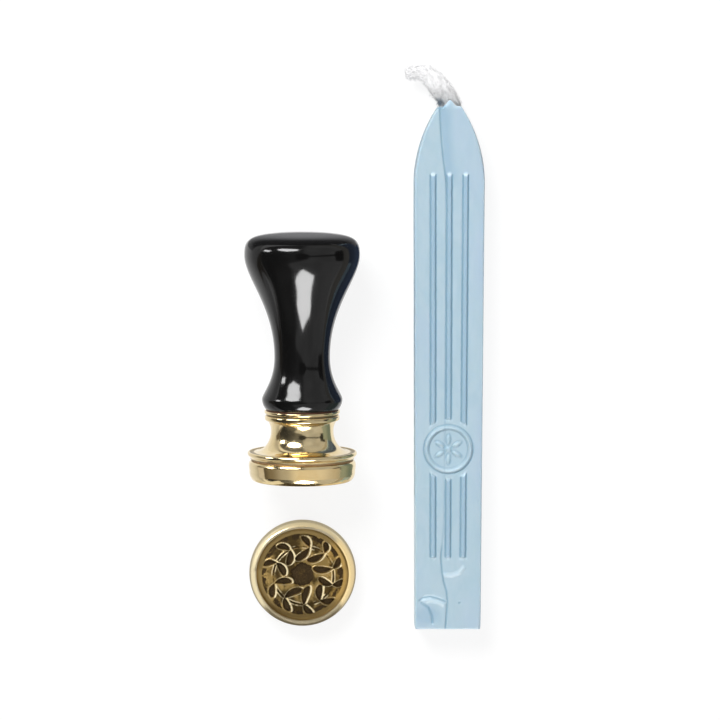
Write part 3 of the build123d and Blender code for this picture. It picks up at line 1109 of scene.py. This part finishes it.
def stick_rule(sheet, start, size):
    """Sweeps the section along the stick, tapers it to the pointed end and raises the moulded face."""
    count = sheet.point_count(start)
    stations = size["Stations"]
    ring = count + 1.0
    grid = sheet.grid(stations, ring)
    index = sheet.node("GeometryNodeInputIndex")
    station = ((index + 0.5) / ring).floor()
    place = (index - station * ring) / count
    place = (place.fraction() * count + 0.5).floor()

    def at(value, kind="FLOAT"):
        return sheet.sampled(start, value, place, kind)

    share, _, height = at(sheet.node("GeometryNodeInputPosition"), "FLOAT_VECTOR").parts()
    share, height = share / MM, height / MM
    inset, face = at(sheet.attribute("inset")), at(sheet.attribute("face"))

    length = size["Length"]
    draft_slope = math.tan(math.radians(stick_draft)) * 0.4
    # each end closes with a ring just inside its edge and one point in the middle
    along = ((station - 2.0) / (stations - 5.0)).kept() * length
    outside = (station > 1.5) * (station < stations - 2.5)
    open_end = (station > 0.5) * (station < stations - 1.5) * 0.97 + outside * 0.03
    near_end = along.least(length - along)
    shrink = near_end.fall(0.0, 0.25) * 0.07
    past = (along - size["Shoulder"]).most(0.0)
    bend = size["Point Radius"]
    straight = stick_base_half + along * ((stick_half - stick_base_half) / shoulder)
    half = straight.least(stick_half) - bend + (bend * bend - past * past).root()
    wobble = sheet.noise(sheet.joined(share * 2.0, along), 0.3, 2.0, 0.5) - 0.5
    half = half - height * draft_slope - inset - shrink - 0.03 + wobble * 0.06
    across = share * half

    relief, hollow, crest, tint = face_relief(sheet, across, along, size)
    relief = relief * face.rise(0.5, 1.0) * near_end.rise(0.0, 0.6)
    # wax climbs unevenly round the wick, highest in the middle
    climb = (sheet.noise(sheet.joined(across, height * 0.5), 0.9, 2.0, 0.5) - 0.5) * 0.7
    peak = abs(across - 0.05).fall(0.0, 1.8)
    climb = climb * 0.6 + peak * peak * 1.15 - (across + 1.6).fall(0.0, 0.8) * 0.2
    tip = along.rise(length - 0.5, length)
    # the base leans in a little; the pointed end overhangs instead
    middle = stick_thickness / 2
    level = (height - middle) * open_end + middle
    base_draft = level * draft_slope
    overhang = level * (0.62 / stick_thickness)
    up = (height - middle) * (1.0 - shrink * 0.28) + middle + relief
    up = middle + (up - middle) * (1.0 - tip * 0.05)
    # the right side runs in more than the left one
    lean = (along / length) * 0.29 - 0.34
    x = across * open_end + size["Stick X"] + lean
    y = base_draft * (1.0 - along / length) + along + overhang * along.rise(size["Shoulder"] + 2.0, length)
    y = y + climb * tip * open_end * face.rise(0.0, 1.0) + size["Base Y"]
    z = (up - middle) * open_end + middle
    moved = sheet.moved(grid, sheet.joined(x, y, z) * MM)
    moulded = face * outside
    marked = sheet.written(moved, "hollow", hollow * moulded)
    # painted highlight on the rim of the pointed end and on the crests; the side walls and underside are
    # painted lighter against their shade
    lip_highlight = along.rise(length - 0.3, length)
    painted_light_share = (crest + lip_highlight * (1.0 - hollow.kept()) * 0.7) * moulded + (1.0 - moulded) * 0.55
    marked = sheet.written(marked, "crest", painted_light_share)
    marked = sheet.written(marked, "tint", tint * moulded)
    return sheet.welded(marked)


section_start = guide(
    "stick_section",
    [(share, 0.0, height) for share, height, _, _ in section],
    [],
    {"inset": [row[2] for row in section], "face": [row[3] for row in section]},
)
stick_mesh = grown(
    "wax_bar",
    section_start,
    stick_rule,
    {
        "Stations": STATIONS,
        "Length": stick_length,
        "Shoulder": shoulder,
        "Point Radius": 25.1,
        "Stick X": stick_x,
        "Base Y": base_y,
        "Seam": face_lines("seam_line", [SEAM]),
        "Folds": face_lines("fold_lines", FOLDS),
        "Crests": face_lines("crest_lines", CRESTS),
    },
    blue_wax,
)
finished("wax_bar", stick_mesh, "stick", ["wax_stick"], crease=58.0)

# ---------------------------------------------------------------- braided wick
WICK_ROUTE = [
    (15.5, 40.9, 3.6),
    (15.5, 43.2, 3.65),
    (14.9, 44.9, 3.75),
    (13.9, 46.3, 3.9),
    (12.7, 47.9, 4.0),
    (11.5, 49.2, 3.9),
    (9.9, 49.75, 3.7),
    (8.4, 49.6, 3.55),
    (7.5, 49.5, 3.5),
]


def braid_rule(sheet, start, size):
    """Lays strands round a route, half of them winding each way, with a core inside."""
    count = size["Points per Strand"]
    even = sheet.node("GeometryNodeResampleCurve", {"mode": "COUNT"}, {"Curve": start, "Count": count})
    even = sheet.node("GeometryNodeSetCurveNormal", {"mode": "Z_UP"}, {"Curve": even})
    doubled = sheet.node(
        "GeometryNodeDuplicateElements", {"domain": "SPLINE"}, {"Geometry": even, "Amount": size["Strands"]}
    )
    strand = doubled.out("Duplicate Index")
    kept = sheet.written(doubled, "strand", strand)
    number = sheet.attribute("strand")
    factor = sheet.node("GeometryNodeSplineParameter").out("Factor")
    tangent = sheet.node("GeometryNodeInputTangent")
    upright = (0.0, 0.0, 1.0)
    sideways = tangent.calc("CROSS_PRODUCT", tangent, upright)
    way = (number / 2.0).fraction() * 4.0 - 1.0
    first = (number / 2.0).floor() * 2.0 / size["Strands"]
    loose = sheet.noise(sheet.joined(factor * 6.0, number * 3.7), 1.0, 2.0, 0.5)
    angle = (factor * size["Turns"] * way + first) * TURN + (loose - 0.5) * 0.7
    taper = 1.0 - factor.rise(0.45, 1.0) * 0.48 - factor.fall(0.1, 0.3) * 0.12
    weave = 1.0 + (angle * 2.0).cosine() * way * 0.07
    wide = angle.cosine() * taper * weave * size["Half Width"]
    high = angle.sine() * taper * weave * size["Half Thickness"]
    offset = sideways * wide + sheet.joined(z=high)
    bent = sheet.node("GeometryNodeSetPosition", {}, {"Geometry": kept, "Offset": offset})
    profile = sheet.circle(9)
    thick = size["Strand Radius"] * taper * (loose * 0.5 + 0.75)
    strands = sheet.tube(bent, profile, thick)
    flat = sheet.node(
        "GeometryNodeTransform",
        {},
        {"Geometry": profile, "Scale": sheet.joined(size["Half Width"], size["Half Thickness"], 1.0)},
    )
    core = sheet.tube(even, flat, taper * 1.2)
    return sheet.node("GeometryNodeJoinGeometry", {}, {"Geometry": [core, strands]})


def fuzz_rule(sheet, start, size):
    """Short bent cotton fibres that stand off a surface."""
    spots = sheet.node(
        "GeometryNodeDistributePointsOnFaces",
        {"distribute_method": "RANDOM"},
        {"Mesh": start, "Density": size["Fibres per Square Metre"], "Seed": size["Seed"]},
    )
    ends = {"Start": (0, 0, 0), "End": (0, 0, 1)}
    line = sheet.node("GeometryNodeCurvePrimitiveLine", {"mode": "POINTS"}, ends)
    fibre = sheet.node("GeometryNodeResampleCurve", {"mode": "COUNT"}, {"Curve": line, "Count": 6})
    x, y, z = sheet.node("GeometryNodeInputPosition").parts()
    curled = sheet.joined(x + z * z * 0.7, y + (z * 5.0).sine() * 0.12, z - z * z * 0.45)
    fibre = sheet.moved(fibre, curled)
    hair = sheet.tube(fibre, sheet.circle(3), size["Thickness"])
    spin = sheet.node("FunctionNodeRandomValue", {"data_type": "FLOAT"}, {"Min": 0.0, "Max": TURN, "Seed": 3})
    tall = sheet.node(
        "FunctionNodeRandomValue",
        {"data_type": "FLOAT"},
        {"Min": size["Shortest"], "Max": size["Longest"], "Seed": 5},
    )
    twist = sheet.node("FunctionNodeEulerToRotation", {}, {0: sheet.joined(z=spin)})
    turned_about = sheet.node(
        "FunctionNodeRotateRotation",
        {"rotation_space": "LOCAL"},
        {"Rotation": spots.out("Rotation"), "Rotate By": twist},
    )
    grown_to = sheet.joined(1.0, 1.0, 1.0) * tall
    return sheet.node(
        "GeometryNodeInstanceOnPoints",
        {},
        {"Points": spots, "Instance": hair, "Rotation": turned_about, "Scale": grown_to},
    )


def route_curve(name, points):
    """A smooth curve through the middle of the wick."""
    data = bpy.data.curves.new(name, "CURVE")
    data.dimensions = "3D"
    data.resolution_u = 16
    spline = data.splines.new("NURBS")
    spline.points.add(len(points) - 1)
    for point, place in zip(spline.points, points):
        point.co = (*[c * MM for c in place], 1.0)
    spline.order_u = 3
    spline.use_endpoint_u = True
    return data


route = route_curve("wick_route", WICK_ROUTE)
braid_sizes = {
    "Points per Strand": 90,
    "Strands": 10,
    "Turns": 1.05,
    "Half Width": 1.15 * MM,
    "Half Thickness": 0.62 * MM,
    "Strand Radius": 0.68 * MM,
}
braid_mesh = grown("wick_braid", route, braid_rule, braid_sizes, white_cotton)
fuzz_sizes = {
    "Fibres per Square Metre": 1.0e7,
    "Seed": 11,
    "Thickness": 0.05,
    "Shortest": 0.3 * MM,
    "Longest": 0.8 * MM,
}
fuzz_mesh = grown("wick_fuzz", braid_mesh.copy(), fuzz_rule, fuzz_sizes, white_cotton)


def mark_waxed(mesh):
    """Where the wick has drawn up wax, palely above the stick's tip; and a painted shade, dark blue, on the
    wick in the nook at its left side.
    """
    tip = base_y + stick_length
    nook = Vector((13.35, tip + 1.1))
    waxed, soaked = [], []
    for vertex in mesh.vertices:
        x, y = vertex.co.x / MM, vertex.co.y / MM
        waxed.append(limited(1.05 - (y - tip) / 4.2))
        soaked.append(limited(1.35 - (Vector((x, y)) - nook).length / 0.8))
    mesh.attributes.new("waxed", "FLOAT", "POINT").data.foreach_set("value", waxed)
    mesh.attributes.new("soaked", "FLOAT", "POINT").data.foreach_set("value", soaked)


for mesh in (braid_mesh, fuzz_mesh):
    mark_waxed(mesh)
finished("wick_braid", braid_mesh, "stick", ["wick"], crease=180.0)
finished("wick_fuzz", fuzz_mesh, "stick", [], crease=180.0)


# ---------------------------------------------------------------- table, light and camera
def light_shares(sheet):
    """1 for rays that show the surroundings: to the camera, and in glossy and clear surfaces."""
    path = sheet.node("ShaderNodeLightPath")
    return path.out("Is Camera Ray"), path.out("Is Glossy Ray").most(path.out("Is Transmission Ray"))


def floor_material():
    """A matt table that looks evenly bright itself, and lights the pieces as a matt one does."""
    made = bpy.data.materials.new("white table")
    sheet = emptied(made)
    camera, mirrored = light_shares(sheet)
    shown = camera.most(mirrored)
    matt = sheet.node("ShaderNodeBsdfDiffuse", {}, {"Color": (0.8, 0.8, 0.8)})
    faint = sheet.node("ShaderNodeBsdfDiffuse", {}, {"Color": (0.17, 0.17, 0.17)})
    glow = sheet.node("ShaderNodeEmission", {}, {"Color": (1.0, 1.0, 1.0), "Strength": 0.85})
    lit = sheet.node("ShaderNodeAddShader", {}, {0: faint, 1: glow})
    both = sheet.node("ShaderNodeMixShader", {}, {0: shown, 1: matt, 2: lit})
    sheet.node("ShaderNodeOutputMaterial", {}, {"Surface": both})
    return made


half_table = 6.0  # metres
table_corners = [(x * half_table, y * half_table, 0) for x, y in ((-1, -1), (1, -1), (1, 1), (-1, 1))]
table = bpy.data.meshes.new("table")
table.from_pydata(table_corners, [], [(0, 1, 2, 3)])
table_top = bpy.data.objects.new("table", table)
bpy.context.collection.objects.link(table_top)
table.materials.append(floor_material())

# the world shines white to the camera and plain grey on the pieces; only polished surfaces see the room
world = bpy.data.worlds.new("studio")
bpy.context.scene.world = world
sky = emptied(world)
camera_ray, mirror_ray = light_shares(sky)
aim = sky.node("ShaderNodeTexCoord").out("Generated")
east, north, height = aim.parts()
blotch = sky.noise(aim, 2.3, 2.0, 0.5)
west_edge = (east + blotch * 0.5 - 0.25).rise(-0.9, -0.3)
west_side = sky.mix((0.050, 0.036, 0.022), (0.17, 0.145, 0.105), west_edge)
light_edge = east + north.fall(-0.34, -0.1) * 0.46 - north.fall(-0.65, -0.4) * 0.14 + blotch * 0.16 - 0.08
ceiling = sky.mix(west_side, (0.62, 0.55, 0.43), light_edge.rise(-0.02, 0.14))
ceiling = ceiling * (blotch.rise(0.3, 0.7) * 0.3 + 0.82)
horizon = height.fall(0.10, 0.24) * east.rise(-0.5, -0.1) * east.fall(-0.1, 0.4) * north.fall(0.0, 0.3)
studio = sky.mix(ceiling, (1.0, 1.0, 1.0), horizon)
plain = sky.mix((0.40, 0.40, 0.40), studio, mirror_ray)
shown_sky = sky.mix(plain, (1.0, 1.0, 1.0), camera_ray)
background = sky.node("ShaderNodeBackground", {}, {"Color": shown_sky, "Strength": 1.0})
sky.node("ShaderNodeOutputWorld", {}, {"Surface": background})


def lamp(name, place, size, watts):
    """A lamp over the table, aimed at its middle. It doesn't show in glossy surfaces. Lengths are metres."""
    data = bpy.data.lights.new(name, "AREA")
    data.shape = "RECTANGLE"
    data.size = data.size_y = size
    data.energy = watts
    made = bpy.data.objects.new(name, data)
    made.location = place
    made.rotation_euler = (Vector((0, 0, 0)) - Vector(place)).to_track_quat("-Z", "Y").to_euler()
    made.visible_glossy = False
    bpy.context.collection.objects.link(made)


def board(name, corners, colour, strength=1.0, fade=None):
    """A plane that shows only in glossy surfaces, in millimetres. A fade is axis, start, end and colour."""
    made = bpy.data.materials.new(name)
    sheet = emptied(made)
    if fade:
        axis, start, end, last = fade
        along = (sheet.node("ShaderNodeTexCoord").out("Object") / MM).parts()[axis]
        colour = sheet.mix(colour, last, along.rise(start, end))
    glow = sheet.node("ShaderNodeEmission", {}, {"Color": colour, "Strength": strength})
    sheet.node("ShaderNodeOutputMaterial", {}, {"Surface": glow})
    mesh = bpy.data.meshes.new(name)
    mesh.from_pydata([[c * MM for c in corner] for corner in corners], [], [tuple(range(len(corners)))])
    mesh.materials.append(made)
    piece = bpy.data.objects.new(name, mesh)
    bpy.context.collection.objects.link(piece)
    for hidden in ("camera", "diffuse", "shadow", "transmission", "volume_scatter"):
        setattr(piece, "visible_" + hidden, False)


card_distance = 600.0


def card(name, corners, strength):
    """A white plane far from the stamp. A corner is its roll east and pitch north, in degrees."""
    placed = []
    for roll, pitch in corners:
        r, p = math.radians(roll), math.radians(pitch)
        way = Vector((math.sin(r) * math.cos(p), math.sin(p), math.cos(r) * math.cos(p)))
        placed.append(Vector((stamp_x, 0.0, 10.0)) + way * card_distance)
    board(name, placed, (1.0, 1.0, 1.0), strength)


def wall(start, end, low, high):
    """Corners of an upright board from one place on the table to another."""
    return [(*start, low), (*end, low), (*end, high), (*start, high)]


def lying(height, *places):
    """Corners of a board that lies level."""
    return [(x, y, height) for x, y in places]


lamp("key lamp", (-0.30, 0.58, 0.75), 0.45, 8.8)
lamp("fill lamp", (0.5, -0.4, 0.9), 0.7, 1.8)

front = [(3, -34), (31, -45), (33, -51), (30, -60), (-14, -60), (-20, -53), (-15, -48), (-3, -37)]
back = [(-33, 27), (-8, 35), (-11, 42), (-5, 47), (-27, 49), (-50, 46), (-57, 38), (-52, 31)]
card("front window", front, 17.0)
card("back window", back, 17.0)
card("side window", [(-84, 16.5), (-69, 17), (-69, 26), (-84, 24)], 16.0)
head_west = [(16, 7.5), (10, 15), (0, 17), (-12, 14), (-12, -3), (0, -5), (10, -3), (16, 3)]
head_east = [(68, 3), (72, -10), (92, -10), (92, 20), (72, 18), (68, 7.5)]
card("camera bar", head_west + head_east, 0.03)

# what lies and stands round the pieces, as it shows in them
beside = stick_x - stick_half - 0.4
# painted shade seen in reflections: dark blue sheets stand in for the stick's shaded side and its shadow on
# the table
shaded_wax_blue = (0.11, 0.155, 0.25)
board("blue side", wall((beside, -12), (beside, 13), 0.3, 9), shaded_wax_blue)
board("blue side behind", wall((beside, 13), (beside, 32), 0.3, 12.5), shaded_wax_blue)
board("blue shade", lying(0.4, (3, -12), (beside, -12), (beside, 32), (3, 32)), (0.06, 0.09, 0.16))
green = wall((beside, -27), (beside, -12), 0.3, 16)
board("green side", green, (0.18, 0.245, 0.24), fade=(2, 6, 13, (0.33, 0.39, 0.36)))
crown_shade = lying(0.5, (-50, 21.6), (40, 21.6), (60, 900), (-60, 900))
board("shade by the crown", crown_shade, (0.32, 0.32, 0.33), fade=(1, 22, 32, (0.07, 0.07, 0.075)))
west_table = lying(0.4, (-26, -60), (-26, 60), (-700, 130), (-700, -60))
board("table to the west", west_table, (0.52, 0.52, 0.52), fade=(0, -60, -28, (0.88, 0.88, 0.88)))
beyond = [(-650, 120), (-300, 42), (-130, 12), (-62, -4), (-50, -14), (-95, -28), (-140, -60), (-400, -400)]
beyond += [(-2500, -400), (-2500, 900), (-650, 900)]
board("beyond the table to the west", lying(0.45, *beyond), (0.13, 0.11, 0.085))
east_table = lying(0.5, (26, -300), (2500, -300), (2500, 900), (70, 900), (26, 22))
board("table to the east", east_table, (0.42, 0.40, 0.36))


def round_the_head(radius, height, turns):
    """Places round the axis of the loose head, at angles in radians."""
    return [(stamp_x + radius * math.cos(a), spare_y + radius * math.sin(a), height) for a in turns]


ring = round_the_head(15, 0.3, [step * TURN / 32 for step in range(32)])
board("shade round the head", ring, (0.10, 0.085, 0.06), fade=(1, -56, -32, (0.42, 0.40, 0.34)))
board("before the head", wall((-40, -53), (6, -53), 0.5, 28), (0.11, 0.095, 0.07))
west = [(-24, -53, 0.5), (-24, -29, 3.5), (-24, -29, 24), (-24, -53, 24)]
board("west of the head", west, (0.95, 0.93, 0.86))
behind = [(-26, -28, 3.5), (4, -28, 1), (4, -28, 11), (-26, -28, 11)]
board("behind the head", behind, (0.72, 0.68, 0.58))

above_rim, past_rim = 8.2, 12


def over_the_rim(name, first, last, inner, colour):
    """A board just above the loose head's rim, from one angle to another."""
    turns = [math.radians(first + (last - first) * step / 10) for step in range(11)]
    outside = round_the_head(past_rim, above_rim, turns)
    inside = round_the_head(inner, above_rim, turns[::-1])
    board(name, outside + inside, colour)


over_the_rim("above the front of the rim", 228, 308, 6.4, (0.045, 0.03, 0.008))
over_the_rim("above the east of the rim", -38, 42, 5.9, (0.95, 0.82, 0.55))
board("curtain across the head", wall((-27, -40.5), (-4, -40.5), 6.3, 28), (0.05, 0.038, 0.018))

# strips along a cylinder over the stamp's brass band: the angle where each starts, and its colour there
band_radius, band_middle = 10.8, 9.75
band_from, band_to = -23.0, -20.2
band_glow = [
    (-62, (0.69, 0.66, 0.66)),
    (-52, (0.69, 0.66, 0.66)),
    (-50, (0.12, 0.10, 0.075)),
    (-40, (0.235, 0.20, 0.15)),
    (-20, (0.50, 0.48, 0.44)),
    (-5, (0.81, 0.75, 0.64)),
    (22, (0.81, 0.75, 0.66)),
    (42, (0.60, 0.56, 0.49)),
    (50, (0.50, 0.48, 0.42)),
]
for (before, colour), (after, last) in zip(band_glow, band_glow[1:]):
    rims = []
    for turn in (before, (before + after) / 2, after):
        a = math.radians(turn)
        rims.append((stamp_x + band_radius * math.sin(a), band_middle + band_radius * math.cos(a)))
    for (xa, za), (xb, zb) in zip(rims, rims[1:]):
        strip = [(xa, band_from, za), (xb, band_from, zb), (xb, band_to, zb), (xa, band_to, za)]
        board(f"over the band {before}", strip, colour, fade=(0, rims[0][0], rims[2][0], last))
board("east of the head", wall((2, -53), (2, -29), 0.5, 13), (0.90, 0.80, 0.62))

camera_tilt = math.radians(5.8)
camera_reach = 1.5
field_width = 0.13029
camera_aim = (-0.000935, -0.00263)
camera_data = bpy.data.cameras.new("camera")
camera_data.sensor_width = 36.0
camera_data.lens = camera_data.sensor_width * camera_reach / field_width
camera_data.clip_start, camera_data.clip_end = 0.05, 20.0
camera = bpy.data.objects.new("camera", camera_data)
camera.location = (
    camera_aim[0],
    camera_aim[1] + camera_reach * math.sin(camera_tilt),
    camera_reach * math.cos(camera_tilt),
)
camera.rotation_euler = (-camera_tilt, 0.0, 0.0)
bpy.context.collection.objects.link(camera)
bpy.context.scene.camera = camera
bpy.context.scene.view_settings.view_transform = "Standard"
